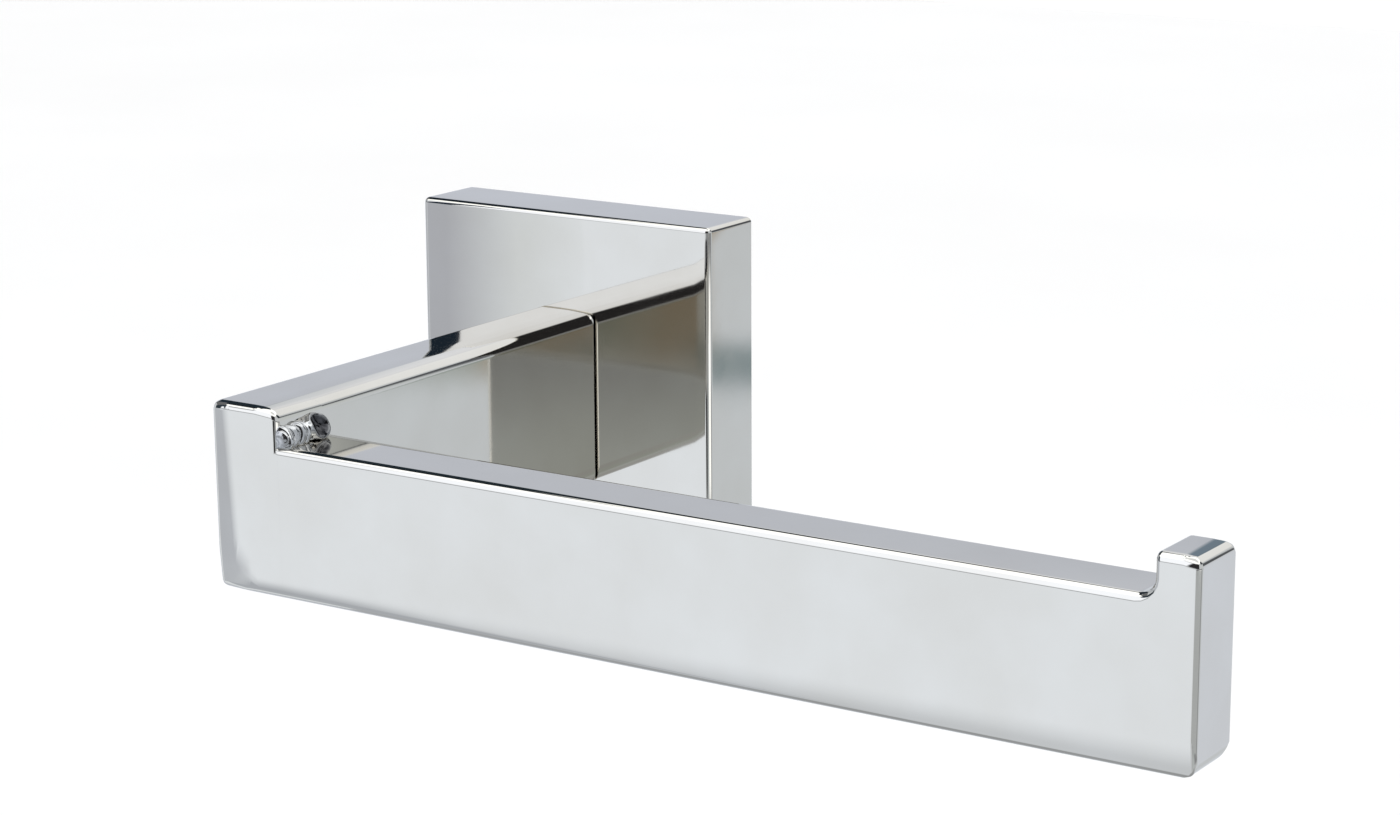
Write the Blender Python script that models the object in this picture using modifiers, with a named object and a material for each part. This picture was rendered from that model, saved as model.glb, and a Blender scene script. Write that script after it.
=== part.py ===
"""Open-arm toilet paper holder, square style, in polished stainless steel.

A square rose covers a wall bracket. A flat arm stands out of the rose, and the roll bar is welded to
the arm's front end, parallel to the wall. The bar's free end turns up in a lip that keeps the roll on.
Run with: blender --background --python part.py

Frame: the origin is the middle of the bracket's back, on the wall. +X runs along the roll bar,
+Y goes into the wall and +Z is up. Lengths are in metres.
"""

import math

import bmesh
import bpy
from mathutils import Matrix, Vector

# ---- Driving dimensions -------------------------------------------------------------------------

MM = 0.001
GAP = 0.3 * MM  # clearance between pieces that touch

ROSE_SIZE = 52 * MM  # width and height of the square rose
ROSE_DEPTH = 11.4 * MM
ROSE_WALL = 1.5 * MM
ARM_WIDTH = 10.7 * MM
ARM_HEIGHT = 25.7 * MM
ARM_X = 0.65 * MM  # the arm's middle lies this far right of the rose's middle
ARM_Z = -1.3 * MM  # and this far above it, so a little below
PROJECTION = 84.4 * MM  # wall to the front face of the roll bar
BAR_LENGTH = 142.5 * MM  # left side of the arm to the outer face of the lip
BAR_THICKNESS = 9.5 * MM
SADDLE_DEPTH = 5.05 * MM  # how far the bar's top lies below the top of the arm and of the lip
LIP_LENGTH = 6.2 * MM
LIP_FILLET = 2.5 * MM  # inner corner between the bar's top and the lip
JOINT_LAND = 0.05 * MM  # how far the ground end of the joint stands out from the arm's side

WELD_LEG = 2.2 * MM
WELD_PITCH = 1.1 * MM

EDGE_ROUND = 1.2 * MM  # rounding of the arm's and the bar's edges
BACK_ROUND = 3.7 * MM  # rounding of the bar's lower back edge
END_ROUND = 2.3 * MM  # rounding of the lip's lower end
ROSE_ROUND = 1.1 * MM

BRACKET_WIDTH = 30 * MM
BRACKET_PLATE = 2.5 * MM
BRACKET_FLANGE = 2 * MM
BRACKET_DEPTH = 7 * MM
BRACKET_FOOT = -19.5 * MM  # underside of the flange that the grub screw bears on

ARM_SCREW_Z = 7 * MM  # the arm screws sit this far above and below the middle
ARM_SCREW_RADIUS = 2.4 * MM
ARM_SCREW_LENGTH = 16 * MM
ARM_SCREW_HEAD = (4.7 * MM, 2.7 * MM)  # radius and height
WASHER_THICKNESS = 1.2 * MM

WALL_SCREW_Z = 13 * MM
WALL_SCREW_RADIUS = 2 * MM
WALL_SCREW_LENGTH = 30 * MM
WALL_SCREW_HEAD = 3.9 * MM
PLUG_RADIUS = 3 * MM
PLUG_LENGTH = 25 * MM
PLUG_SINK = 2.5 * MM  # the plug's mouth lies this far below the wall's face

GRUB_RADIUS = 1.9 * MM
GRUB_LENGTH = 6 * MM
GRUB_Y = -5 * MM
BOSS_SIZE = (8 * MM, 6 * MM, 3.2 * MM)

# ---- Derived places -----------------------------------------------------------------------------

HALF_ROSE = ROSE_SIZE / 2
ARM_LEFT = ARM_X - ARM_WIDTH / 2
ARM_RIGHT = ARM_X + ARM_WIDTH / 2
TOP = ARM_Z + ARM_HEIGHT / 2
BOTTOM = ARM_Z - ARM_HEIGHT / 2
FRONT = -PROJECTION
BAR_BACK = FRONT + BAR_THICKNESS
SADDLE_TOP = TOP - SADDLE_DEPTH
BAR_END = ARM_LEFT + BAR_LENGTH
ROSE_INNER_FACE = -(ROSE_DEPTH - ROSE_WALL)
ROSE_INNER_HALF = HALF_ROSE - ROSE_WALL
ARM_REAR = -(ROSE_DEPTH + GAP)
ARM_SCREWS = ("upper", ARM_Z + ARM_SCREW_Z), ("lower", ARM_Z - ARM_SCREW_Z)
WALL_SCREWS = ("upper", WALL_SCREW_Z), ("lower", -WALL_SCREW_Z)

STEEL = ("polished_steel", (0.80, 0.81, 0.82), 0.06, 1.0)
WELD = ("weld_bead", (0.55, 0.55, 0.56), 0.15, 1.0)
ZINC = ("zinc_plate", (0.62, 0.63, 0.64), 0.35, 1.0)
SCREW_STEEL = ("screw_steel", (0.58, 0.58, 0.60), 0.3, 1.0)
BLACK_STEEL = ("black_steel", (0.06, 0.06, 0.065), 0.4, 1.0)
PLUG_PLASTIC = ("plug_plastic", (0.62, 0.63, 0.65), 0.55, 0.0)

# ---- Tools --------------------------------------------------------------------------------------


def start_scene():
    for old in list(bpy.data.objects):
        bpy.data.objects.remove(old)
    collections = []
    for name in ("toilet_paper_holder", "cutters"):
        made = bpy.data.collections.new(name)
        bpy.context.scene.collection.children.link(made)
        collections.append(made)
    return collections


def material(finish):
    name, colour, roughness, metallic = finish
    found = bpy.data.materials.get(name)
    if found:
        return found
    made = bpy.data.materials.new(name)
    made.use_nodes = True
    shader = made.node_tree.nodes["Principled BSDF"]
    shader.inputs["Base Color"].default_value = (*colour, 1)
    shader.inputs["Roughness"].default_value = roughness
    shader.inputs["Metallic"].default_value = metallic
    return made


def new_object(name, bm, collection, finish=None):
    """An object in the collection from a bmesh, which is freed."""
    mesh = bpy.data.meshes.new(name)
    bm.normal_update()
    bm.to_mesh(mesh)
    bm.free()
    obj = bpy.data.objects.new(name, mesh)
    collection.objects.link(obj)
    if finish:
        mesh.materials.append(material(finish))
    return obj


def box_mesh(low, high):
    """A bmesh box between two corners."""
    low, high = Vector(low), Vector(high)
    bm = bmesh.new()
    size = high - low
    place = Matrix.Translation((low + high) / 2) @ Matrix.Diagonal((*size, 1))
    bmesh.ops.create_cube(bm, size=1, matrix=place)
    return bm


def weigh_edges(bm, round_of):
    """Gives each edge the bevel weight that makes its rounding round_of(middle, direction), 0 for none."""
    weights = bm.edges.layers.float.new("bevel_weight_edge")
    for edge in bm.edges:
        a, b = (v.co for v in edge.verts)
        edge[weights] = round_of((a + b) / 2, (b - a).normalized()) / BACK_ROUND


def add_bevel(obj, segments=3):
    bevel = obj.modifiers.new("Rounded edges", "BEVEL")
    bevel.limit_method = "WEIGHT"
    bevel.width = BACK_ROUND
    bevel.segments = segments
    return bevel


def cut(obj, cutter):
    boolean = obj.modifiers.new("Cut " + cutter.name, "BOOLEAN")
    boolean.operation = "DIFFERENCE"
    boolean.object = cutter


def as_cutter(obj):
    obj.hide_render = True
    obj.display_type = "WIRE"
    return obj


def cylinder_cutter(name, radius, start, end, sides=24):
    """A round, or with 6 sides hexagonal, cutter between two points."""
    start, end = Vector(start), Vector(end)
    bm = bmesh.new()
    turn = (end - start).to_track_quat("Z", "Y").to_matrix().to_4x4()
    place = Matrix.Translation((start + end) / 2) @ turn
    bmesh.ops.create_cone(
        bm, cap_ends=True, segments=sides, radius1=radius, radius2=radius,
        depth=(end - start).length, matrix=place,
    )
    return as_cutter(new_object(name, bm, cutters))


def box_cutter(name, low, high):
    return as_cutter(new_object(name, box_mesh(low, high), cutters))


def plate_mesh(outline, thickness, place):
    """A bmesh plate: a filled flat curve, as thick as given and centred on local Z, moved by place."""
    curve = bpy.data.curves.new("outline", "CURVE")
    curve.dimensions = "2D"
    curve.fill_mode = "BOTH"
    curve.extrude = thickness / 2
    spline = curve.splines.new("POLY")
    spline.points.add(len(outline) - 1)
    for point, (x, y) in zip(spline.points, outline):
        point.co = (x, y, 0, 1)
    spline.use_cyclic_u = True
    flat = bpy.data.objects.new("outline", curve)
    flat.matrix_world = place
    cutters.objects.link(flat)
    mesh = evaluated_mesh(flat)
    bpy.data.objects.remove(flat)
    bm = bmesh.new()
    bm.from_mesh(mesh)
    bpy.data.meshes.remove(mesh)
    bmesh.ops.transform(bm, matrix=place, verts=bm.verts)
    bmesh.ops.remove_doubles(bm, verts=bm.verts, dist=0.01 * MM)
    bmesh.ops.dissolve_limit(bm, angle_limit=math.radians(1), verts=bm.verts, edges=bm.edges)
    bmesh.ops.recalc_face_normals(bm, faces=bm.faces)
    return bm


def evaluated_mesh(obj):
    """The object's mesh with its modifiers applied."""
    graph = bpy.context.evaluated_depsgraph_get()
    return bpy.data.meshes.new_from_object(obj.evaluated_get(graph))


def turned(name, profile, finish, steps=20, collection=None):
    """A turned piece: a profile of (radius, height) points, top first, spun round local Z by a Screw modifier."""
    bm = bmesh.new()
    points = [bm.verts.new((r, 0, z)) for r, z in profile]
    for a, b in zip(points, points[1:]):
        bm.edges.new((a, b))
    obj = new_object(name, bm, collection or holder, finish)
    screw = obj.modifiers.new("Turn", "SCREW")
    screw.axis = "Z"
    screw.steps = screw.render_steps = steps
    screw.use_merge_vertices = True
    screw.merge_threshold = 0.00001
    return obj


def thread_profile(radius, top, bottom, pitch, depth):
    """The (radius, height) zigzag of a thread from top down to bottom, crests at radius."""
    count = int((top - bottom) / pitch)
    points = []
    for i in range(count):
        z = top - i * pitch
        points += [(radius, z - 0.15 * pitch), (radius - depth, z - 0.55 * pitch)]
    return points


def shade_smooth(obj, degrees=30):
    obj.data.shade_smooth()
    obj.data.set_sharp_from_angle(angle=math.radians(degrees))


# ---- Rose ---------------------------------------------------------------------------------------


def make_rose_cover():
    """A square pressed cover, open at the wall, with two arm screw holes and one for the grub screw."""
    bm = box_mesh((-HALF_ROSE, -ROSE_DEPTH, -HALF_ROSE), (HALF_ROSE, 0, HALF_ROSE))
    back = [f for f in bm.faces if f.normal.y > 0.9]
    bmesh.ops.delete(bm, geom=back, context="FACES_ONLY")

    def round_of(middle, direction):
        return 0 if middle.y > -GAP else ROSE_ROUND

    weigh_edges(bm, round_of)
    rose = new_object("rose_cover", bm, holder, STEEL)
    add_bevel(rose, segments=3)
    shell = rose.modifiers.new("Sheet", "SOLIDIFY")
    shell.thickness = ROSE_WALL
    shell.offset = -1
    shell.use_even_offset = True
    for side, z in ARM_SCREWS:
        ends = (ARM_X, -ROSE_DEPTH - 2 * MM, z), (ARM_X, ROSE_INNER_FACE + 2 * MM, z)
        cut(rose, cylinder_cutter(f"rose_{side}_hole", ARM_SCREW_RADIUS + GAP, *ends))
    ends = (0, GRUB_Y, -HALF_ROSE - 2 * MM), (0, GRUB_Y, -ROSE_INNER_HALF + 2 * MM)
    cut(rose, cylinder_cutter("rose_grub_hole", GRUB_RADIUS + GAP, *ends))
    shade_smooth(rose)


# ---- Arm and roll bar ---------------------------------------------------------------------------


def bar_body(name, finish):
    """The arm and the roll bar as one rounded body, with the lowered top between the arm and the lip."""
    plan = [
        (ARM_LEFT, FRONT), (BAR_END, FRONT), (BAR_END, BAR_BACK),
        (ARM_RIGHT, BAR_BACK), (ARM_RIGHT, ARM_REAR), (ARM_LEFT, ARM_REAR),
    ]
    body = new_object(name, plate_mesh(plan, TOP - BOTTOM, Matrix.Translation((0, 0, ARM_Z))), holder, finish)
    low = (ARM_RIGHT, FRONT - LIP_LENGTH, SADDLE_TOP)
    high = (BAR_END - LIP_LENGTH, BAR_BACK + LIP_LENGTH, TOP + SADDLE_DEPTH)
    cut(body, box_cutter(name + "_saddle", low, high))
    mesh = evaluated_mesh(body)
    body.modifiers.clear()
    body.data = mesh

    def at(value, place):
        return abs(value - place) < GAP / 2

    def round_of(middle, direction):
        x, y, z = middle
        along_z, along_y = abs(direction.z) > 0.9, abs(direction.y) > 0.9
        if at(x, ARM_RIGHT) and along_z or at(y, ARM_REAR):
            return 0
        if at(z, SADDLE_TOP) and along_y:
            return LIP_FILLET if x > ARM_RIGHT + LIP_LENGTH else 0
        if at(z, BOTTOM) and at(y, BAR_BACK):
            return BACK_ROUND
        if at(z, BOTTOM) and at(x, BAR_END):
            return END_ROUND
        return EDGE_ROUND

    bm = bmesh.new()
    bm.from_mesh(mesh)
    bmesh.ops.dissolve_limit(bm, angle_limit=math.radians(1), verts=bm.verts, edges=bm.edges)
    weigh_edges(bm, round_of)
    bm.to_mesh(mesh)
    bm.free()
    add_bevel(body)
    body.modifiers.new("Flat facets", "TRIANGULATE")
    return body


def make_arm():
    """The flat arm, with two blind holes in its rear end and its front end flush with the roll bar."""
    arm = bar_body("arm", STEEL)
    low = (ARM_RIGHT + JOINT_LAND, FRONT - ARM_WIDTH, BOTTOM - ARM_WIDTH)
    high = (BAR_END + ARM_WIDTH, BAR_BACK + ARM_WIDTH, TOP + ARM_WIDTH)
    cut(arm, box_cutter("arm_end", low, high))
    hole_end = ROSE_INNER_FACE - ARM_SCREW_LENGTH
    for side, z in ARM_SCREWS:
        ends = (ARM_X, hole_end, z), (ARM_X, ARM_REAR + 2 * MM, z)
        cut(arm, cylinder_cutter(f"arm_{side}_hole", ARM_SCREW_RADIUS + GAP, *ends))
    shade_smooth(arm)


def make_roll_bar():
    """The roll bar from the arm's side to its lip."""
    bar = bar_body("roll_bar", STEEL)
    low = (ARM_LEFT - ARM_WIDTH, FRONT - ARM_WIDTH, BOTTOM - ARM_WIDTH)
    high = (ARM_RIGHT + JOINT_LAND + GAP, ARM_REAR + ARM_WIDTH, TOP + ARM_WIDTH)
    cut(bar, box_cutter("roll_bar_end", low, high))
    shade_smooth(bar)


def make_corner_weld():
    """The rippled weld in the corner between the arm's side and the bar's top, ending in a crater."""
    length = BAR_THICKNESS - 2 * GAP
    crater = length - 2.6 * MM  # where the wider end of the bead starts
    profile = [(0, length), (WELD_LEG - 0.6 * MM, length), (WELD_LEG + 0.3 * MM, length - 0.5 * MM)]
    profile += [(WELD_LEG + 0.5 * MM, length - 1.2 * MM), (WELD_LEG + 0.2 * MM, length - 2.2 * MM)]
    for i in range(int(crater / WELD_PITCH)):
        top = crater - i * WELD_PITCH
        profile += [(WELD_LEG - 0.25 * MM, top), (WELD_LEG, top - 0.6 * WELD_PITCH)]
    profile += [(WELD_LEG - 0.5 * MM, 0), (0, 0)]
    weld = turned("corner_weld", profile, WELD, steps=32)
    x, z = ARM_RIGHT + GAP, SADDLE_TOP + GAP
    weld.location = (x - GAP / 2, FRONT + GAP, z - GAP / 2)
    weld.rotation_euler = (math.radians(-90), 0, 0)
    reach, ends = 2 * WELD_LEG, (FRONT - GAP, BAR_BACK + GAP)
    beside = box_cutter("weld_side", (x - reach, ends[0], z - reach), (x, ends[1], z + reach))
    below = box_cutter("weld_foot", (x - reach, ends[0], z - reach), (x + reach, ends[1], z))
    cut(weld, beside)
    cut(weld, below)
    shade_smooth(weld, 60)


# ---- Arm screws and washers ---------------------------------------------------------------------

HEAD_SEAT = ROSE_INNER_FACE + WASHER_THICKNESS + 2 * GAP  # under the arm screws' heads


def make_arm_screw(side, z):
    """A button-head socket screw that pulls the arm against the rose from inside."""
    head_radius, head_height = ARM_SCREW_HEAD
    profile = [(0, head_height), (0.6 * head_radius, head_height)]
    profile += [(0.9 * head_radius, 0.6 * head_height), (head_radius, 0.25 * head_height)]
    profile += [(head_radius, 0), (ARM_SCREW_RADIUS, 0)]
    profile += thread_profile(ARM_SCREW_RADIUS, -1 * MM, -ARM_SCREW_LENGTH + 1 * MM, 1 * MM, 0.35 * MM)
    profile += [(ARM_SCREW_RADIUS - 0.6 * MM, -ARM_SCREW_LENGTH), (0, -ARM_SCREW_LENGTH)]
    screw = turned(f"arm_screw_{side}", profile, BLACK_STEEL, steps=18)
    screw.location = (ARM_X, HEAD_SEAT, z)
    screw.rotation_euler = (math.radians(-90), 0, 0)
    top = HEAD_SEAT + head_height
    ends = (ARM_X, top - 1.5 * MM, z), (ARM_X, top + 2 * MM, z)
    cut(screw, cylinder_cutter(f"arm_screw_{side}_socket", 1.7 * MM, *ends, sides=6))
    shade_smooth(screw)


def make_arm_washer(side, z):
    """A split spring washer under an arm screw's head."""
    inner, outer = ARM_SCREW_RADIUS + GAP, ARM_SCREW_HEAD[0]
    bm = bmesh.new()
    bmesh.ops.create_cone(
        bm, cap_ends=True, segments=28, radius1=outer, radius2=outer, depth=WASHER_THICKNESS,
    )
    washer = new_object(f"arm_washer_{side}", bm, holder, SCREW_STEEL)
    y = ROSE_INNER_FACE + GAP + WASHER_THICKNESS / 2
    washer.location = (ARM_X, y, z)
    washer.rotation_euler = (math.radians(90), 0, 0)
    ends = (ARM_X, y - 2 * WASHER_THICKNESS, z), (ARM_X, y + 2 * WASHER_THICKNESS, z)
    cut(washer, cylinder_cutter(f"arm_washer_{side}_hole", inner, *ends))
    low = (ARM_X, y - 2 * WASHER_THICKNESS, z - 0.5 * MM)
    high = (2 * outer, y + 2 * WASHER_THICKNESS, z + 0.5 * MM)
    cut(washer, box_cutter(f"arm_washer_{side}_split", low, high))
    shade_smooth(washer)


# ---- Wall bracket, its screws and plugs ---------------------------------------------------------


def countersunk_profile(growth):
    """The (radius, height) outline of a wall screw's head and neck, from its face at height 0 down."""
    return [
        (0, 0),
        (WALL_SCREW_HEAD + growth, 0),
        (WALL_SCREW_HEAD + growth, -0.3 * MM),
        (WALL_SCREW_RADIUS + growth, -2.2 * MM),
    ]


def make_wall_bracket():
    """A bent steel plate: the rose hangs on its top flange, and the grub screw bears on its bottom one."""
    top = ROSE_INNER_HALF - GAP
    foot = BRACKET_FOOT
    profile = [
        (0, foot), (0, top), (-BRACKET_DEPTH, top), (-BRACKET_DEPTH, top - BRACKET_FLANGE),
        (-BRACKET_PLATE, top - BRACKET_FLANGE), (-BRACKET_PLATE, foot + BRACKET_FLANGE),
        (-BRACKET_DEPTH, foot + BRACKET_FLANGE), (-BRACKET_DEPTH, foot),
    ]
    upright = Matrix(((0, 0, 1, 0), (1, 0, 0, 0), (0, 1, 0, 0), (0, 0, 0, 1)))
    bm = plate_mesh(profile, BRACKET_WIDTH, upright)
    bracket = new_object("wall_bracket", bm, holder, ZINC)
    for side_name, z in WALL_SCREWS:
        profile = [(0, 1 * MM), (WALL_SCREW_HEAD + GAP, 1 * MM), *countersunk_profile(GAP)[1:]]
        profile += [(WALL_SCREW_RADIUS + GAP, -5 * MM), (0, -5 * MM)]
        sink = turned(f"bracket_{side_name}_sink", profile, None, 24, cutters)
        sink.location = (0, -BRACKET_PLATE, z)
        sink.rotation_euler = (math.radians(90), 0, 0)
        cut(bracket, as_cutter(sink))


def make_wall_screw(side, z):
    """A countersunk tapping screw through the bracket into its plug."""
    tip = -WALL_SCREW_LENGTH
    profile = countersunk_profile(0)
    profile += thread_profile(WALL_SCREW_RADIUS, -3 * MM, tip + 3 * MM, 1.4 * MM, 0.5 * MM)
    profile += [(WALL_SCREW_RADIUS - 0.5 * MM, tip + 3 * MM), (0, tip)]
    screw = turned(f"wall_screw_{side}", profile, SCREW_STEEL, steps=18)
    face = -BRACKET_PLATE
    screw.location = (0, face, z)
    screw.rotation_euler = (math.radians(90), 0, 0)
    arm, half = 2.1 * MM, 0.45 * MM
    low, high = face - 1 * MM, face + 1.3 * MM
    flat = box_cutter(f"wall_screw_{side}_slot", (-arm, low, z - half), (arm, high, z + half))
    tall = box_cutter(f"wall_screw_{side}_cross", (-half, low, z - arm), (half, high, z + arm))
    cut(screw, flat)
    cut(screw, tall)
    shade_smooth(screw)


def make_wall_plug(side, z):
    """A ribbed plastic plug in the wall round the screw, split along most of its length."""
    bore = WALL_SCREW_RADIUS + GAP
    outer = [(bore, 0), (PLUG_RADIUS - 0.2 * MM, 0), (PLUG_RADIUS, -0.3 * MM)]
    rib_pitch = 3 * MM
    for i in range(int((PLUG_LENGTH - 7 * MM) / rib_pitch)):
        top = -4 * MM - i * rib_pitch
        outer += [(PLUG_RADIUS, top), (PLUG_RADIUS - 0.4 * MM, top - 0.3 * MM)]
        outer += [(PLUG_RADIUS, top - rib_pitch + 0.4 * MM)]
    outer += [(bore + 0.35 * MM, -PLUG_LENGTH), (bore, -PLUG_LENGTH), (bore, 0)]
    plug = turned(f"wall_plug_{side}", outer, PLUG_PLASTIC, steps=18)
    plug.location = (0, PLUG_SINK, z)
    plug.rotation_euler = (math.radians(90), 0, 0)
    half = 0.5 * MM
    low = (-half, PLUG_SINK + 7 * MM, z - 2 * PLUG_RADIUS)
    high = (half, PLUG_SINK + PLUG_LENGTH + 2 * MM, z + 2 * PLUG_RADIUS)
    cut(plug, box_cutter(f"wall_plug_{side}_split", low, high))
    shade_smooth(plug)


# ---- Grub screw ---------------------------------------------------------------------------------


def make_grub_screw():
    """The socket set screw in the rose's underside, tight against the bracket's bottom flange."""
    profile = [(0, 0), (GRUB_RADIUS - 0.5 * MM, 0), (GRUB_RADIUS - 0.1 * MM, -0.4 * MM)]
    profile += thread_profile(GRUB_RADIUS, -0.4 * MM, -GRUB_LENGTH + 0.4 * MM, 0.7 * MM, 0.3 * MM)
    profile += [(GRUB_RADIUS - 0.3 * MM, -GRUB_LENGTH), (0, -GRUB_LENGTH)]
    grub = turned("grub_screw", profile, BLACK_STEEL, steps=18)
    tip = BRACKET_FOOT - GAP
    grub.location = (0, GRUB_Y, tip)
    low, high = tip - GRUB_LENGTH - 1 * MM, tip - GRUB_LENGTH + 2.2 * MM
    cut(grub, cylinder_cutter("grub_socket", 1.15 * MM, (0, GRUB_Y, low), (0, GRUB_Y, high), sides=6))
    shade_smooth(grub)


def make_grub_boss():
    """The threaded block welded inside the rose, which gives the grub screw its thread."""
    width, depth, height = BOSS_SIZE
    low = Vector((-width / 2, GRUB_Y - depth / 2, -ROSE_INNER_HALF + GAP))
    boss = new_object("grub_screw_boss", box_mesh(low, low + Vector(BOSS_SIZE)), holder, SCREW_STEEL)
    ends = (0, GRUB_Y, low.z - 2 * MM), (0, GRUB_Y, low.z + height + 2 * MM)
    cut(boss, cylinder_cutter("boss_hole", GRUB_RADIUS + GAP, *ends))


holder, cutters = start_scene()
make_rose_cover()
make_arm()
make_roll_bar()
make_corner_weld()
make_wall_bracket()
make_grub_screw()
make_grub_boss()
for side, z in ARM_SCREWS:
    make_arm_screw(side, z)
    make_arm_washer(side, z)
for side, z in WALL_SCREWS:
    make_wall_screw(side, z)
    make_wall_plug(side, z)
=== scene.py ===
import math

import bmesh
import bpy
from mathutils import Matrix, Vector


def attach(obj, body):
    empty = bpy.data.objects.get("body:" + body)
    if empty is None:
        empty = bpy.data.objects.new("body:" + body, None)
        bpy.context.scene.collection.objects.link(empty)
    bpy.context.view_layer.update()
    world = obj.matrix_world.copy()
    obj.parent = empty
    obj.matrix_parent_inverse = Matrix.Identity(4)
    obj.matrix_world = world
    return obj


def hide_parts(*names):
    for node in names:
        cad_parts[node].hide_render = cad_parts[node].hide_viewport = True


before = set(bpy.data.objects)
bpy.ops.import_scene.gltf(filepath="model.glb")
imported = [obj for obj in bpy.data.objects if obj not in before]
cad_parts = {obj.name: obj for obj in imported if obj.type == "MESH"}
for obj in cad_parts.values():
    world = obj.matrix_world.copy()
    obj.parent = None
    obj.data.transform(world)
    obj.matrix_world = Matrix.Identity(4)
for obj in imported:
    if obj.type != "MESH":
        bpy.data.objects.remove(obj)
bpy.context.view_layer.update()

# ---- Sizes, in metres ---------------------------------------------------------------------------

MM = 0.001
SEAM = 0.002 * MM  # between the arm and the roll bar, ground flush
BEYOND = 5 * MM  # how far cutters reach past what they cut
NEAR = 0.05 * MM  # edges this close to a plane count as lying on it

ROSE_HALF = 26 * MM
ROSE_DEPTH = 11.4 * MM
ROSE_WALL = 1.5 * MM
ROSE_ROUND = 0.8 * MM
ROSE_CROWN = 0.12 * MM
ROSE_CELLS = 20
ARM_SCREW_HOLE = 2.7 * MM
ARM_SCREW_PLACES = (0.65 * MM, 5.7 * MM), (0.65 * MM, -8.3 * MM)  # x and z
ARM_SCREW_END = -25.9 * MM
GRUB_HOLE = 2.2 * MM
GRUB_Y = -5 * MM

ARM_LEFT, ARM_RIGHT = -4.7 * MM, 6.75 * MM
ARM_RIGHT_REAR = 5.9 * MM  # at the rose; the right side isn't quite square to it
TOP, BOTTOM = 11.55 * MM, -14.15 * MM
FRONT, BAR_BACK = -84.4 * MM, -74.9 * MM
BAR_END = 137.7 * MM
SADDLE_TOP = 6.5 * MM
LIP_X = 132.1 * MM
ARM_REAR = -11.7 * MM

# Roundings of the edges.
TOP_ROUND = 1.2 * MM
ARM_TOP_ROUND = 1.9 * MM  # along the right of the arm's top
LEFT_ROUND = 0.9 * MM
LOW_ROUND = 1.0 * MM
BACK_LOW_ROUND = 3.7 * MM
END_LOW_ROUND = 2.3 * MM
END_ROUND = 0.65 * MM
LIP_ROUND = 0.6 * MM  # along the left of the lip's top
LIP_FILLET = 2.1 * MM
UPSTAND_ROUND = 0.8 * MM
SIDE_ROUND = 1.4 * MM
REAR_ROUND = 0.3 * MM
ROUND_STEPS, SMALL_ROUND_STEPS = 8, 5  # more on the lip's fillet makes the bevel cross itself
FLAT_ANGLE = 0.02  # radians: edges flatter than this stay as they are

# Strips where polishing has rolled a face off towards its edge: width, angle and blend.
ROLL_LEFT, ROLL_ANGLE, ROLL_BLEND_LEFT = 3.5 * MM, 5.5, 0.8 * MM  # left of the front face
ROLL_LEFT_GROWTH = 0.065  # how fast that strip widens downwards
ROLL_LOW, ROLL_ANGLE_LOW, ROLL_BLEND = 3.2 * MM, 8, 2.0 * MM  # bottom of the front face
ROLL_CORNER, ROLL_CORNER_SHARE = 6 * MM, 0.62  # where those two meet
ROLL_ARM, ROLL_ANGLE_ARM = 3.8 * MM, 4.5  # right of the arm's top
ROLL_LIP, ROLL_ANGLE_LIP, ROLL_BLEND_LIP = 2.1 * MM, 4.5, 0.4 * MM  # right of the lip's top

WELD_RADIUS = 2.05 * MM
WELD_OUT = -0.2 * MM, 0.12 * MM  # how far the bead's middle line lies out of the corner, in x and z
WELD_WANDER = ((0.12 * MM, 2100, 0), (0.08 * MM, 900, 7))  # size, turns along, turns around
WELD_START, WELD_STOP = 0.7 * MM, 1.4 * MM  # length over which each end closes
WELD_LIFT = 0.5 * MM  # how high above the bar's top the bead starts
WELD_CLIMB = 0.35 * MM  # and how much more it climbs along its way
WELD_LOW, WELD_HIGH = -20, 94  # degrees around the bead, from the bar to the arm
WELD_ROOT = 0.2 * MM  # how deep the bead's hidden edge lies in both pieces
RIPPLE_PITCH = 1.25 * MM
RIPPLE_DEPTH = 0.42 * MM
RIPPLE_BOW = 0.7 * MM  # how far each ripple's crest runs ahead of its ends
CRATER_RADIUS = 1.6 * MM
CRATER_DEPTH = 0.8 * MM
CRATER_RIM = 0.2 * MM
CRATER_SWELL = 0.18 * MM  # how much the bead swells around the crater
CRATER_EDGE, CRATER_FADE = 1.4, 0.3  # in crater radii: where the ripples start again, and how gently
CRATER_RIM_AT, CRATER_RIM_WIDTH = 1.15, 0.3  # in crater radii
OXIDE_FULL, OXIDE_END = 0.85, 1.35  # in crater radii: fully dark up to the first, clean from the second
CRATER_ALONG = 7.0 * MM  # from the bar's front
CRATER_UP = 0.45  # 0 on the bar, 1 on the arm

# ---- Tools --------------------------------------------------------------------------------------


def add_object(name, mesh):
    obj = bpy.data.objects.new(name, mesh)
    bpy.context.scene.collection.objects.link(obj)
    return obj


def from_bmesh(name, bm):
    mesh = bpy.data.meshes.new(name)
    bm.normal_update()
    bm.to_mesh(mesh)
    bm.free()
    return add_object(name, mesh)


def box_object(name, low, high):
    low, high = Vector(low), Vector(high)
    bm = bmesh.new()
    place = Matrix.Translation((low + high) / 2) @ Matrix.Diagonal((*(high - low), 1))
    bmesh.ops.create_cube(bm, size=1, matrix=place)
    return from_bmesh(name, bm)


def bake(obj):
    """Replaces the object's mesh with its evaluated one and clears its modifiers."""
    graph = bpy.context.evaluated_depsgraph_get()
    mesh = bpy.data.meshes.new_from_object(obj.evaluated_get(graph))
    obj.modifiers.clear()
    obj.data = mesh
    return obj


def remove(obj):
    bpy.data.objects.remove(obj)


def boolean(obj, other, operation="DIFFERENCE"):
    modifier = obj.modifiers.new("Cut", "BOOLEAN")
    modifier.operation = operation
    modifier.object = other
    bake(obj)
    remove(other)


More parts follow.
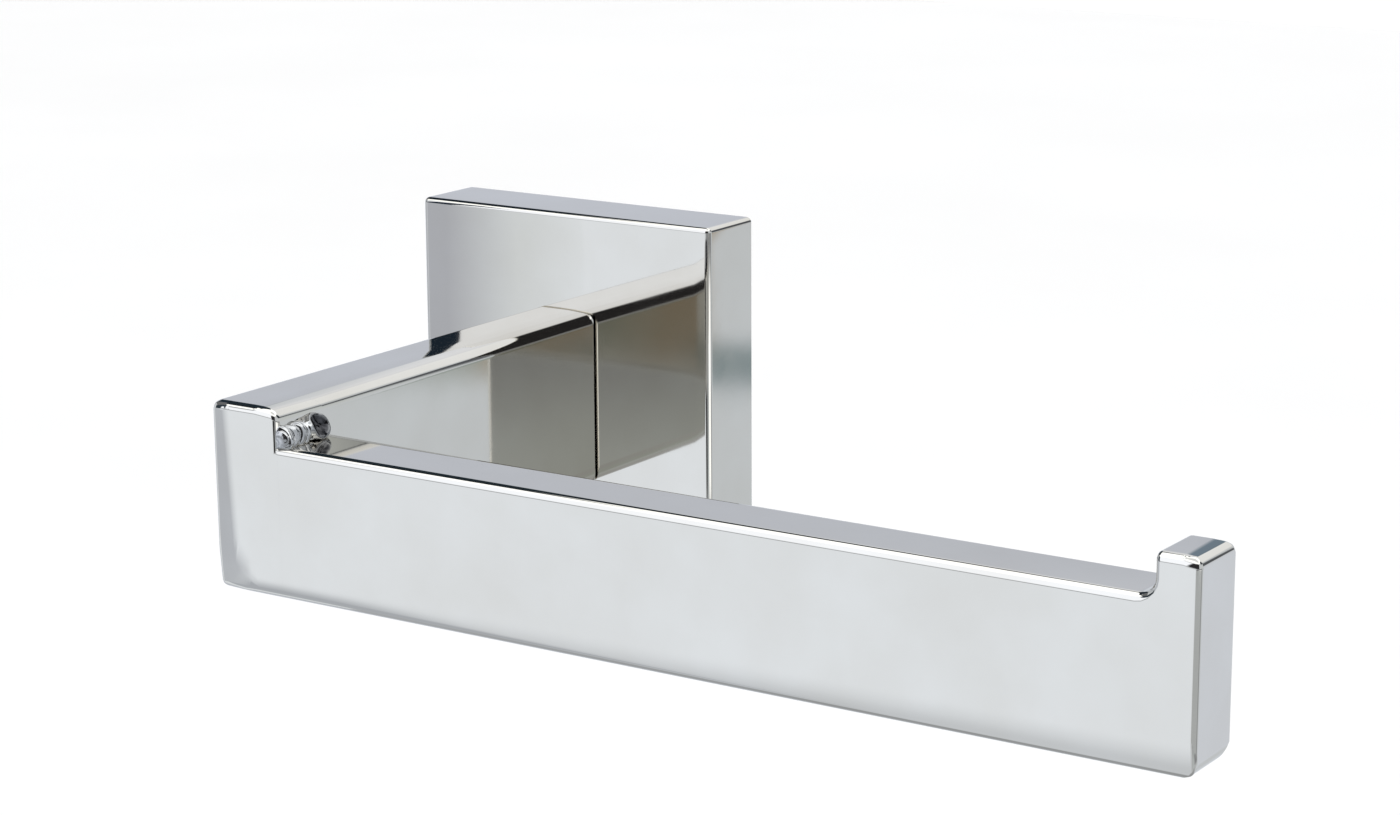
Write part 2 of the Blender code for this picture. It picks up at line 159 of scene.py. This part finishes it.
def drill(obj, radius, start, end):
    """Cuts a round hole between two points."""
    start, end = Vector(start), Vector(end)
    bm = bmesh.new()
    turn = (end - start).to_track_quat("Z", "Y").to_matrix().to_4x4()
    bmesh.ops.create_cone(
        bm, cap_ends=True, segments=48, radius1=radius, radius2=radius,
        depth=(end - start).length, matrix=Matrix.Translation((start + end) / 2) @ turn,
    )
    boolean(obj, from_bmesh("drill", bm))


def round_edges(obj, round_of, segments):
    """Bevels each edge by round_of(middle, direction), in metres."""
    widest = BACK_LOW_ROUND  # the largest rounding, which has weight 1
    bm = bmesh.new()
    bm.from_mesh(obj.data)
    layers = bm.edges.layers.float
    weights = layers.get("bevel_weight_edge") or layers.new("bevel_weight_edge")
    for edge in bm.edges:
        a, b = (v.co for v in edge.verts)
        flat = len(edge.link_faces) == 2 and edge.calc_face_angle(0) < FLAT_ANGLE
        edge[weights] = 0 if flat else round_of((a + b) / 2, (b - a).normalized()) / widest
    bm.to_mesh(obj.data)
    bm.free()
    bevel = obj.modifiers.new("Rounding", "BEVEL")
    bevel.limit_method = "WEIGHT"
    bevel.width = widest
    bevel.segments = segments
    bake(obj)


def smooth(obj, degrees=35):
    obj.data.shade_smooth()
    obj.data.set_sharp_from_angle(angle=math.radians(degrees))
    weighted = obj.modifiers.new("Flat faces", "WEIGHTED_NORMAL")
    weighted.keep_sharp = True
    weighted.weight = 100
    bake(obj)


# ---- Materials ----------------------------------------------------------------------------------


class Shader:
    """A Principled material whose sockets are fed by small node chains."""

    def __init__(self, name, metallic=1.0):
        self.material = bpy.data.materials.new(name)
        self.material.use_nodes = True
        self.tree = self.material.node_tree
        self.principled = self.tree.nodes["Principled BSDF"]
        self.principled.inputs["Metallic"].default_value = metallic
        self.place = self.node("ShaderNodeTexCoord").outputs["Object"]

    def node(self, kind, **settings):
        made = self.tree.nodes.new(kind)
        for key, value in settings.items():
            setattr(made, key, value)
        return made

    def link(self, source, target):
        self.tree.links.new(source, target)

    def noise(self, scale, detail=3, rough=0.55, stretch=None):
        place = self.place
        if stretch:
            mapping = self.node("ShaderNodeMapping")
            mapping.inputs["Scale"].default_value = stretch
            self.link(place, mapping.inputs["Vector"])
            place = mapping.outputs["Vector"]
        noise = self.node("ShaderNodeTexNoise")
        noise.inputs["Scale"].default_value = scale
        noise.inputs["Detail"].default_value = detail
        noise.inputs["Roughness"].default_value = rough
        self.link(place, noise.inputs["Vector"])
        return noise.outputs["Fac"]

    def spread(self, value, low, high, from_low=0.3, from_high=0.7):
        """A 0..1 value mapped onto low..high."""
        node = self.node("ShaderNodeMapRange")
        numbers = {"From Min": from_low, "From Max": from_high, "To Min": low, "To Max": high}
        for key, number in numbers.items():
            node.inputs[key].default_value = number
        self.link(value, node.inputs["Value"])
        return node.outputs["Result"]

    def colours(self, value, low, high):
        ramp = self.node("ShaderNodeValToRGB")
        ramp.color_ramp.elements[0].position = 0.3
        ramp.color_ramp.elements[0].color = (*low, 1)
        ramp.color_ramp.elements[1].position = 0.7
        ramp.color_ramp.elements[1].color = (*high, 1)
        self.link(value, ramp.inputs["Fac"])
        return ramp.outputs["Color"]

    def set_colour(self, socket):
        self.link(socket, self.principled.inputs["Base Color"])

    def set_roughness(self, socket):
        self.link(socket, self.principled.inputs["Roughness"])

    def bump(self, *layers):
        """Stacks bump layers of (height socket, distance in metres)."""
        normal = None
        for height, distance in layers:
            bump = self.node("ShaderNodeBump")
            bump.inputs["Distance"].default_value = distance
            self.link(height, bump.inputs["Height"])
            if normal:
                self.link(normal, bump.inputs["Normal"])
            normal = bump.outputs["Normal"]
        self.link(normal, self.principled.inputs["Normal"])


STEEL_WARM = (0.600, 0.575, 0.525)
STEEL_PALE = (0.640, 0.620, 0.575)


def polished_steel():
    s = Shader("polished_stainless")
    s.set_colour(s.colours(s.noise(60, 4), STEEL_WARM, STEEL_PALE))
    hairlines = s.noise(900, 2, 0.6, stretch=(0.04, 1, 1))
    s.set_roughness(s.spread(s.noise(55, 4), 0.02, 0.07))
    s.bump((s.noise(45, 1), 0.012 * MM), (hairlines, 0.00025 * MM))
    return s.material


def weld_metal():
    """Bright on the bead and dark with oxide in its crater."""
    s = Shader("weld_bead")
    off = s.node("ShaderNodeVectorMath", operation="DISTANCE")
    off.inputs[1].default_value = weld_point(CRATER_ALONG, CRATER_UP, WELD_RADIUS - CRATER_DEPTH / 2)
    s.link(s.place, off.inputs[0])
    full, end = OXIDE_FULL * CRATER_RADIUS, OXIDE_END * CRATER_RADIUS
    oxide = s.spread(off.outputs["Value"], 1, 0, full, end)
    tint = s.node("ShaderNodeMix", data_type="RGBA")
    s.link(oxide, tint.inputs[0])
    s.link(s.colours(s.noise(700, 4), (0.30, 0.30, 0.30), (0.58, 0.58, 0.57)), tint.inputs[6])
    s.link(s.colours(s.noise(1100, 3), (0.01, 0.01, 0.012), (0.08, 0.08, 0.085)), tint.inputs[7])
    s.set_colour(tint.outputs[2])
    s.set_roughness(s.spread(s.noise(900, 3), 0.05, 0.18))
    s.bump((s.noise(1500, 3), 0.03 * MM))
    return s.material


def zinc_plate():
    s = Shader("zinc_plated_sheet")
    s.set_colour(s.colours(s.noise(180, 5), (0.52, 0.54, 0.56), (0.68, 0.69, 0.69)))
    s.set_roughness(s.spread(s.noise(120, 5), 0.28, 0.48))
    s.bump((s.noise(2500, 2), 0.004 * MM))
    return s.material


def plain_steel():
    s = Shader("plain_steel")
    s.set_colour(s.colours(s.noise(400, 4), (0.44, 0.44, 0.45), (0.62, 0.62, 0.63)))
    s.set_roughness(s.spread(s.noise(300, 4), 0.22, 0.42))
    s.bump((s.noise(2000, 2), 0.006 * MM))
    return s.material


def black_oxide():
    s = Shader("black_oxide_steel")
    s.set_colour(s.colours(s.noise(500, 4), (0.030, 0.030, 0.032), (0.075, 0.073, 0.070)))
    s.set_roughness(s.spread(s.noise(300, 4), 0.32, 0.55))
    s.bump((s.noise(2500, 2), 0.006 * MM))
    return s.material


def plug_plastic():
    s = Shader("plug_plastic", metallic=0)
    s.set_colour(s.colours(s.noise(150, 4), (0.40, 0.41, 0.42), (0.50, 0.51, 0.52)))
    s.set_roughness(s.spread(s.noise(250, 4), 0.42, 0.6))
    s.bump((s.noise(3000, 2), 0.01 * MM))
    return s.material


def dress(obj, material):
    obj.data.materials.clear()
    obj.data.materials.append(material)


# ---- Rose ---------------------------------------------------------------------------------------


def make_rose():
    """The square cover with a slightly crowned face, open at the wall."""
    bm = bmesh.new()
    bmesh.ops.create_grid(bm, x_segments=ROSE_CELLS, y_segments=ROSE_CELLS, size=ROSE_HALF)
    turn = Matrix.Translation((0, -ROSE_DEPTH, 0)) @ Matrix.Rotation(math.radians(90), 4, "X")
    bmesh.ops.transform(bm, matrix=turn, verts=bm.verts)
    rim = [e for e in bm.edges if e.is_boundary]
    grown = bmesh.ops.extrude_edge_only(bm, edges=rim)
    moved = [v for v in grown["geom"] if isinstance(v, bmesh.types.BMVert)]
    bmesh.ops.translate(bm, verts=moved, vec=(0, ROSE_DEPTH, 0))
    for vert in bm.verts:
        if vert.co.y < -ROSE_DEPTH / 2:
            off = (vert.co.x ** 2 + vert.co.z ** 2) / (2 * ROSE_HALF ** 2)
            vert.co.y += ROSE_CROWN * off
    bmesh.ops.recalc_face_normals(bm, faces=bm.faces)
    if min(bm.faces, key=lambda face: face.calc_center_median().y).normal.y > 0:
        bmesh.ops.reverse_faces(bm, faces=bm.faces)
    rose = from_bmesh("rose_polished", bm)
    round_edges(rose, lambda middle, direction: ROSE_ROUND, SMALL_ROUND_STEPS)
    shell = rose.modifiers.new("Sheet", "SOLIDIFY")
    shell.thickness = ROSE_WALL
    shell.offset = -1
    bake(rose)
    for x, z in ARM_SCREW_PLACES:
        drill(rose, ARM_SCREW_HOLE, (x, -2 * ROSE_DEPTH, z), (x, -ROSE_DEPTH / 2, z))
    drill(rose, GRUB_HOLE, (0, GRUB_Y, -2 * ROSE_HALF), (0, GRUB_Y, -ROSE_HALF / 2))
    return rose


# ---- Arm, roll bar and weld ---------------------------------------------------------------------


def shave(bm, point, normal):
    """Planes the body off beyond a plane and closes it again."""
    geometry = list(bm.verts) + list(bm.edges) + list(bm.faces)
    cut = bmesh.ops.bisect_plane(bm, geom=geometry, plane_co=point, plane_no=normal, clear_outer=True)
    edges = [e for e in cut["geom_cut"] if isinstance(e, bmesh.types.BMEdge)]
    bmesh.ops.edgeloop_fill(bm, edges=edges)
    bmesh.ops.recalc_face_normals(bm, faces=bm.faces)


def at(value, place):
    return abs(value - place) < NEAR


def arm_side(y):
    """Where the arm's right side lies at this y."""
    share = (max(y, BAR_BACK) - BAR_BACK) / (ARM_REAR - BAR_BACK)
    return ARM_RIGHT + (ARM_RIGHT_REAR - ARM_RIGHT) * share


def bar_rounding(middle, direction):
    """The rounding of the body's edge with this middle and direction."""
    x, y, z = middle
    along = max(range(3), key=lambda i: abs(direction[i]))
    low, left, front = at(z, BOTTOM), at(x, ARM_LEFT), y < FRONT + MM
    if at(y, ARM_REAR):
        return REAR_ROUND
    in_fillet_x = LIP_X - LIP_FILLET - NEAR < x < LIP_X + NEAR
    if in_fillet_x and z < SADDLE_TOP + LIP_FILLET + NEAR and not low:
        if abs(direction.y) > 0.9:
            return 0
        if z > SADDLE_TOP + NEAR and not (along == 2 and z > SADDLE_TOP + LIP_FILLET):
            return UPSTAND_ROUND + (TOP_ROUND - UPSTAND_ROUND) * (LIP_X - x) / LIP_FILLET
    if low:
        if at(y, BAR_BACK):
            return BACK_LOW_ROUND
        return END_LOW_ROUND if at(x, BAR_END) else LOW_ROUND
    if left and front:
        return LEFT_ROUND
    if front and z < BOTTOM + 2 * ROLL_CORNER and not (at(x, BAR_END) or at(x, ARM_RIGHT)):
        return ROLL_BLEND
    if along == 2:
        if x < ARM_LEFT + ROLL_CORNER:
            return ROLL_BLEND_LEFT
        if at(x, BAR_END):
            return END_ROUND
        return UPSTAND_ROUND if at(x, LIP_X) or at(y, FRONT) else 0
    if along == 1:
        if at(z, SADDLE_TOP):
            return 0
        if left:
            return SIDE_ROUND
        if x > LIP_X + MM and at(z, TOP):
            return ROLL_BLEND_LIP
        if at(x, arm_side(y)):
            return ARM_TOP_ROUND
        if at(x, LIP_X):
            return LIP_ROUND
    return TOP_ROUND


def saddle_rounding(middle, direction):
    """Rounds only the edge of the saddle's cutter that makes the lip's fillet."""
    fillet = abs(direction.y) > 0.9 and middle.x > LIP_X - MM and middle.z < SADDLE_TOP + MM
    return LIP_FILLET if fillet else 0


def make_whole_bar():
    """The arm and the roll bar as one rounded body, to be cut at their joint."""
    corners = [
        (ARM_LEFT, FRONT), (BAR_END, FRONT), (BAR_END, BAR_BACK),
        (ARM_RIGHT, BAR_BACK), (ARM_RIGHT_REAR, ARM_REAR), (ARM_LEFT, ARM_REAR),
    ]
    bm = bmesh.new()
    face = bm.faces.new([bm.verts.new((x, y, BOTTOM)) for x, y in corners])
    grown = bmesh.ops.extrude_face_region(bm, geom=[face])
    moved = [v for v in grown["geom"] if isinstance(v, bmesh.types.BMVert)]
    bmesh.ops.translate(bm, verts=moved, vec=(0, 0, TOP - BOTTOM))
    bmesh.ops.recalc_face_normals(bm, faces=bm.faces)
    tilt, low_tilt, lip_tilt = (
        math.tan(math.radians(angle)) for angle in (ROLL_ANGLE, ROLL_ANGLE_LOW, ROLL_ANGLE_LIP)
    )
    shave(bm, (ARM_LEFT + ROLL_LEFT, FRONT, 0), (-tilt, -1, -tilt * ROLL_LEFT_GROWTH))
    shave(bm, (0, FRONT, BOTTOM + ROLL_LOW), (0, -1, -low_tilt))
    corner = (ARM_LEFT + ROLL_CORNER, FRONT, BOTTOM + ROLL_LOW)
    shave(bm, corner, (-tilt, -1, -low_tilt * ROLL_CORNER_SHARE))
    shave(bm, (BAR_END - ROLL_LIP, 0, TOP), (lip_tilt, 0, 1))
    whole = from_bmesh("whole_bar", bm)
    wedge_end = (ROLL_ARM + MM, ARM_REAR + BEYOND, 3 * MM)
    wedge = box_object("wedge", (0, FRONT - BEYOND, 0), wedge_end)
    turn = math.atan2(ARM_RIGHT - ARM_RIGHT_REAR, ARM_REAR - BAR_BACK)
    place = Matrix.Translation((ARM_RIGHT, BAR_BACK, TOP)) @ Matrix.Rotation(turn, 4, "Z")
    place = place @ Matrix.Translation((-ROLL_ARM, -BAR_BACK, 0))
    wedge.data.transform(place @ Matrix.Rotation(math.radians(ROLL_ANGLE_ARM), 4, "Y"))
    boolean(whole, wedge)
    saddle_end = (LIP_X, BAR_BACK + BEYOND, TOP + BEYOND)
    saddle = box_object("saddle", (ARM_RIGHT, FRONT - BEYOND, SADDLE_TOP), saddle_end)
    round_edges(saddle, saddle_rounding, SMALL_ROUND_STEPS)
    boolean(whole, saddle)
    round_edges(whole, bar_rounding, ROUND_STEPS)
    return whole


def make_bars():
    whole = make_whole_bar()
    arm, bar = whole, add_object("roll_bar_polished", whole.data.copy())
    arm.name = "arm_polished"
    far = 300 * MM
    right = box_object("right", (ARM_RIGHT + SEAM, -far, -far), (far, BAR_BACK + 2 * MM, far))
    boolean(arm, right)
    left = box_object("left", (-far, -far, -far), (ARM_RIGHT + 2 * SEAM, far, far))
    boolean(bar, left)
    for x, z in ARM_SCREW_PLACES:
        drill(arm, ARM_SCREW_HOLE, (x, ARM_SCREW_END, z), (x, -ROSE_DEPTH / 2, z))
    return arm, bar


def weld_radius(along, up):
    """The bead's radius at a distance along it and a place around it, 0 on the bar to 1 on the arm."""
    length = BAR_BACK - FRONT
    bow = RIPPLE_BOW * math.sin(math.pi * up)
    phase = ((along - bow) / RIPPLE_PITCH) % 1
    ripple = RIPPLE_DEPTH * (1 - math.sqrt(1 - (2 * phase - 1) ** 2))
    wander = sum(size * math.sin(turns * along + around * up) for size, turns, around in WELD_WANDER)
    radius = WELD_RADIUS + wander - ripple
    around = (up - CRATER_UP) * math.radians(WELD_HIGH - WELD_LOW) * WELD_RADIUS
    from_crater = math.hypot(along - CRATER_ALONG, around) / CRATER_RADIUS
    if from_crater < CRATER_EDGE:
        flat = min(1, (CRATER_EDGE - from_crater) / CRATER_FADE)
        radius += (ripple + CRATER_SWELL) * flat
        radius += CRATER_RIM * math.exp(-((from_crater - CRATER_RIM_AT) / CRATER_RIM_WIDTH) ** 2)
        radius -= CRATER_DEPTH * max(0, 1 - from_crater ** 2)
    for edge, reach in ((along, WELD_START), (length - along, WELD_STOP)):
        closing = min(1, max(0, edge) / reach)
        radius *= math.sqrt(max(0, 1 - (1 - closing) ** 2))
    return radius


def weld_point(along, up, radius):
    """The place at a distance and an angle along the bead, as weld_radius has them."""
    angle = math.radians(WELD_LOW + (WELD_HIGH - WELD_LOW) * up)
    x = ARM_RIGHT + WELD_OUT[0] + radius * math.cos(angle)
    rise = WELD_LIFT + WELD_CLIMB * along / (BAR_BACK - FRONT)
    return x, FRONT + along, SADDLE_TOP + WELD_OUT[1] + rise + radius * math.sin(angle)


def make_weld():
    """The rippled bead between the arm's side and the bar's top, with a crater at its end."""
    rows, columns = 150, 36
    bm = bmesh.new()
    grid = []
    for i in range(rows + 1):
        along = (BAR_BACK - FRONT) * i / rows
        ring = []
        for j in range(columns + 1):
            up = j / columns
            radius = weld_radius(along, up)
            ring.append(bm.verts.new(weld_point(along, up, radius)))
        ring.append(bm.verts.new((ARM_RIGHT - WELD_ROOT, FRONT + along, SADDLE_TOP - WELD_ROOT)))
        grid.append(ring)
    for ring, following in zip(grid, grid[1:]):
        for j in range(len(ring)):
            k = (j + 1) % len(ring)
            bm.faces.new((ring[j], ring[k], following[k], following[j]))
    bm.faces.new(grid[0])
    bm.faces.new(grid[-1])
    bmesh.ops.remove_doubles(bm, verts=bm.verts, dist=0.001 * MM)
    bmesh.ops.recalc_face_normals(bm, faces=bm.faces)
    weld = from_bmesh("weld_rippled", bm)
    weld.data.shade_smooth()
    return weld


def make_pieces():
    """Makes the seen pieces, ties each to its body and hides the CAD node that it stands for."""
    steel = polished_steel()
    rose = make_rose()
    arm, bar = make_bars()
    pieces = [
        (rose, steel, "polished_steel", "rose_cover"),
        (arm, steel, "polished_steel", "arm"),
        (bar, steel, "polished_steel", "roll_bar"),
        (make_weld(), weld_metal(), "weld_bead", "corner_weld"),
    ]
    for piece, material, slot, node in pieces:
        if material is steel:
            smooth(piece)
        dress(piece, material)
        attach(piece, "holder")
        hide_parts(node)


def dress_hidden_nodes():
    steel, oxide = plain_steel(), black_oxide()
    finishes = {
        "wall_bracket": zinc_plate(),
        "wall_plug": plug_plastic(),
        "wall_screw": steel,
        "arm_washer": steel,
        "grub_screw_boss": steel,
        "arm_screw": oxide,
        "grub_screw": oxide,
    }
    for name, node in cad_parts.items():
        start = next((start for start in finishes if name.startswith(start)), None)
        if start:
            dress(node, finishes[start])


# ---- Surroundings -------------------------------------------------------------------------------

# Soft-edged patches of light around the holder, as the polished faces see it, each one over the ones
# before it: yaw and elevation of the middle, half width and half height, softness (degrees), colour.
# Yaw 0 is behind the wall, 90 to the right, 180 in front of the wall.
PATCHES = [
    # Overhead
    (0, 80, 180, 32, 6, (1.9, 1.95, 2.0)),
    (0, 90, 180, 19, 5, (1.0, 1.04, 1.1)),
    (-118, 46, 26, 8, 2, (1.9, 1.95, 2.0)),
    # Left, low
    (-90, -20, 60, 30, 12, (0.68, 0.73, 0.83)),
    (-150, -42, 26, 18, 5, (0.84, 0.90, 1.0)),
    # Front left: a bright table with a softbox above it
    (-147, -10, 16, 18, 5, (1.13, 1.21, 1.34)),
    (-124, -36, 13, 10, 2.5, (0.60, 0.65, 0.74)),
    (-152, 28, 21, 20, 3, (1.5, 1.58, 1.75)),
    (-138, 3, 34, 2.5, 1.5, (0.50, 0.53, 0.58)),
    # Left and back left: dark
    (-120, 17, 10, 17.5, 1.5, (0.04, 0.06, 0.08)),
    (-94, 33.5, 20, 10.5, 1, (0.20, 0.21, 0.23)),
    (-58, 34, 19, 16, 2.5, (0.02, 0.035, 0.05)),
    (-73, 50, 34, 5.5, 1, (0.02, 0.03, 0.04)),
    # Back, above the holder
    (-37, 13, 14, 6, 1.5, (0.665, 0.705, 0.80)),
    (-26.5, 34, 8, 16, 2.5, (1.0, 1.03, 1.1)),
    (3.5, 31, 24.5, 13, 2.5, (1.15, 1.18, 1.22)),
    (-17.5, 20, 6.2, 7, 1, (0.22, 0.29, 0.37)),
    (41.5, 13, 4, 9, 1.5, (0.78, 0.84, 0.88)),
    (48, 36, 14, 13, 2.5, (0.03, 0.04, 0.05)),
    (31.8, 12, 5.8, 10.5, 1.2, (0.12, 0.13, 0.15)),
    # Back right, low
    (42, -22, 24, 20, 4, (0.80, 0.86, 0.94)),
    (24, -22, 6, 20, 2, (0.87, 0.93, 1.05)),
    (36.9, -7.62, 1.3, 5, 0.3, (0.42, 0.48, 0.47)),
    (34.9, -7.68, 1, 5, 0.3, (0.54, 0.48, 0.40)),
    (33, -12.6, 1.6, 0.35, 0.15, (0.22, 0.30, 0.33)),
    # Front and right: dark above, with a pale floor and a bright strip below
    (162, 26, 35, 21, 4, (0.035, 0.035, 0.04)),
    (118, -12, 56, 18, 5, (0.35, 0.37, 0.40)),
    (146, -26.6, 14, 13, 2, (0.74, 0.82, 0.88)),
    (150, -26.6, 5, 13, 2, (0.60, 0.66, 0.68)),
    (135, -19, 55, 4, 1, (0.60, 0.64, 0.68)),
    (104, -13, 24, 2.2, 0.5, (1.7, 1.75, 1.8)),
    (172, -12, 15, 3.2, 0.5, (0.02, 0.02, 0.025)),
]
FAR_LIGHT, FLOOR_LIGHT = (0.45, 0.48, 0.52), (0.80, 0.85, 0.92)  # between the patches, and below
FLOOR_RISE = 20, 60  # degrees below the horizon over which one turns into the other
SEEN_LIGHT = 1.05  # the plain white that the eye sees

# A grey reflector board stands upright to the left: its place in x, and its y and z extents.
# Its back part is taller, and dark above the front part's top.
BOARD_X = -65 * MM
BOARD_Y = (-108 * MM, -57 * MM)
BOARD_Z = (-120 * MM, 21 * MM)
BOARD_TALL_Y = -69 * MM
BOARD_TALL_Z = 75 * MM
BOARD_THICKNESS = MM
BOARD_FADE = 4 * MM  # height over which it turns dark
BOARD_GREY_Y = -66 * MM  # where it is greyest; it brightens from there to its front edge
BOARD_TONES = ((0, (1.10, 1.18, 1.30)), (0.5, (0.97, 1.04, 1.13)), (1, (0.63, 0.67, 0.77)))
BOARD_DARK = (0.02, 0.035, 0.06)

FLOOR_Z = -0.7  # well below, so that the holder can be seen from underneath
FLOOR_HALF = 6

LIGHT_PLACE, LIGHT_TARGET = (-0.5, -0.9, 1.3), (0.05, -0.05, 0)
LIGHT_SIZE, LIGHT_POWER = 0.9, 6

CAMERA_PLACE = (0.28166, -0.39983, 0.10992)
CAMERA_YAW, CAMERA_PITCH, CAMERA_ROLL = -33.519, -13.333, 0.309
CAMERA_LENS, CAMERA_SENSOR = 84.576, 36  # mm


def make_world():
    """White for the eye; for the polished faces, a soft studio that varies with direction."""
    world = bpy.data.worlds.new("studio")
    bpy.context.scene.world = world
    world.use_nodes = True
    tree = world.node_tree
    nodes, links = tree.nodes, tree.links

    def value_of(operation, *inputs):
        node = nodes.new("ShaderNodeMath")
        node.operation = operation
        for socket, value in zip(node.inputs, inputs):
            if isinstance(value, (int, float)):
                socket.default_value = value
            else:
                links.new(value, socket)
        return node.outputs["Value"]

    def fade(value, low, high):
        """1 below low, 0 above high."""
        node = nodes.new("ShaderNodeMapRange")
        node.interpolation_type = "SMOOTHSTEP"
        node.inputs["From Min"].default_value = low
        node.inputs["From Max"].default_value = high
        node.inputs["To Min"].default_value = 1
        node.inputs["To Max"].default_value = 0
        links.new(value, node.inputs["Value"])
        return node.outputs["Result"]

    def mix(base, colour, factor):
        node = nodes.new("ShaderNodeMix")
        node.data_type = "RGBA"
        if isinstance(base, tuple):
            node.inputs[6].default_value = (*base, 1)
        else:
            links.new(base, node.inputs[6])
        node.inputs[7].default_value = (*colour, 1)
        links.new(factor, node.inputs[0])
        return node.outputs[2]

    split = nodes.new("ShaderNodeSeparateXYZ")
    links.new(nodes.new("ShaderNodeTexCoord").outputs["Generated"], split.inputs[0])
    x, y, z = split.outputs
    to_degrees = 180 / math.pi
    yaw = value_of("MULTIPLY", value_of("ARCTAN2", x, y), to_degrees)
    rise = value_of("MULTIPLY", value_of("ARCSINE", z), to_degrees)
    light = mix(FAR_LIGHT, FLOOR_LIGHT, fade(value_of("MULTIPLY", rise, -1), *FLOOR_RISE))
    for mid_yaw, mid_rise, half_yaw, half_rise, soft, colour in PATCHES:
        off = value_of("ABSOLUTE", value_of("WRAP", value_of("SUBTRACT", yaw, mid_yaw), 180, -180))
        height = value_of("ABSOLUTE", value_of("SUBTRACT", rise, mid_rise))
        across = fade(off, half_yaw - soft, half_yaw + soft)
        upright = fade(height, half_rise - soft, half_rise + soft)
        light = mix(light, colour, value_of("MULTIPLY", across, upright))
    scene_light = nodes.new("ShaderNodeBackground")
    links.new(light, scene_light.inputs["Color"])
    seen = nodes.new("ShaderNodeBackground")
    seen.inputs["Color"].default_value = (1, 1, 1, 1)
    seen.inputs["Strength"].default_value = SEEN_LIGHT
    path = nodes.new("ShaderNodeLightPath")
    choose = nodes.new("ShaderNodeMixShader")
    links.new(path.outputs["Is Glossy Ray"], choose.inputs[0])
    links.new(seen.outputs[0], choose.inputs[1])
    links.new(scene_light.outputs[0], choose.inputs[2])
    links.new(choose.outputs[0], nodes["World Output"].inputs["Surface"])


def make_floor():
    bm = bmesh.new()
    bmesh.ops.create_grid(bm, x_segments=1, y_segments=1, size=FLOOR_HALF)
    bmesh.ops.translate(bm, verts=bm.verts, vec=(0, 0, FLOOR_Z))
    floor = from_bmesh("floor", bm)
    s = Shader("floor", metallic=0)
    s.set_colour(s.colours(s.noise(2, 2), (0.94, 0.94, 0.94), (0.96, 0.96, 0.96)))
    s.set_roughness(s.spread(s.noise(5, 2), 0.8, 0.9))
    dress(floor, s.material)
    floor.visible_glossy = False


def make_board():
    """The board brightens towards its front edge; only polished faces see it."""
    s = Shader("board", metallic=0)
    split = s.node("ShaderNodeSeparateXYZ")
    s.link(s.place, split.inputs[0])
    ramp = s.node("ShaderNodeValToRGB")
    ramp.color_ramp.elements.new(0.5)
    for element, (position, colour) in zip(ramp.color_ramp.elements, BOARD_TONES):
        element.position = position
        element.color = (*colour, 1)
    s.link(s.spread(split.outputs["Y"], 0, 1, BOARD_Y[0], BOARD_GREY_Y), ramp.inputs["Fac"])
    upper = s.node("ShaderNodeMix", data_type="RGBA")
    s.link(s.spread(split.outputs["Z"], 0, 1, BOARD_Z[1], BOARD_Z[1] + BOARD_FADE), upper.inputs[0])
    s.link(ramp.outputs["Color"], upper.inputs[6])
    upper.inputs[7].default_value = (*BOARD_DARK, 1)
    glow = s.node("ShaderNodeEmission")
    s.link(upper.outputs[2], glow.inputs["Color"])
    s.link(glow.outputs[0], s.tree.nodes["Material Output"].inputs["Surface"])
    back = BOARD_X - BOARD_THICKNESS
    (front_y, back_y), (low_z, high_z) = BOARD_Y, BOARD_Z
    low = box_object("board", (back, front_y, low_z), (BOARD_X, BOARD_TALL_Y, high_z))
    tall = box_object("tall_board", (back, BOARD_TALL_Y, low_z), (BOARD_X, back_y, BOARD_TALL_Z))
    for board in (low, tall):
        dress(board, s.material)
        board.visible_camera = board.visible_diffuse = board.visible_shadow = False


def make_light():
    light = bpy.data.lights.new("key", "AREA")
    light.shape = "DISK"
    light.size = LIGHT_SIZE
    light.energy = LIGHT_POWER
    key = add_object("key", light)
    key.location = LIGHT_PLACE
    towards = Vector(LIGHT_TARGET) - Vector(LIGHT_PLACE)
    key.rotation_euler = towards.to_track_quat("-Z", "Y").to_euler()
    key.visible_glossy = False
    key.visible_camera = False


def make_camera():
    camera = bpy.data.cameras.new("camera")
    camera.lens = CAMERA_LENS
    camera.sensor_width = CAMERA_SENSOR
    camera.clip_start = 0.01
    obj = add_object("camera", camera)
    yaw, pitch, roll = (math.radians(a) for a in (CAMERA_YAW, CAMERA_PITCH, CAMERA_ROLL))
    level = math.cos(pitch)
    forward = Vector((math.sin(yaw) * level, math.cos(yaw) * level, math.sin(pitch)))
    look = forward.to_track_quat("-Z", "Y").to_matrix()
    obj.rotation_euler = (look @ Matrix.Rotation(-roll, 3, "Z")).to_euler()
    obj.location = CAMERA_PLACE
    bpy.context.scene.camera = obj


make_pieces()
dress_hidden_nodes()
make_world()
make_floor()
make_board()
make_light()
make_camera()
bpy.context.scene.view_settings.view_transform = "Standard"
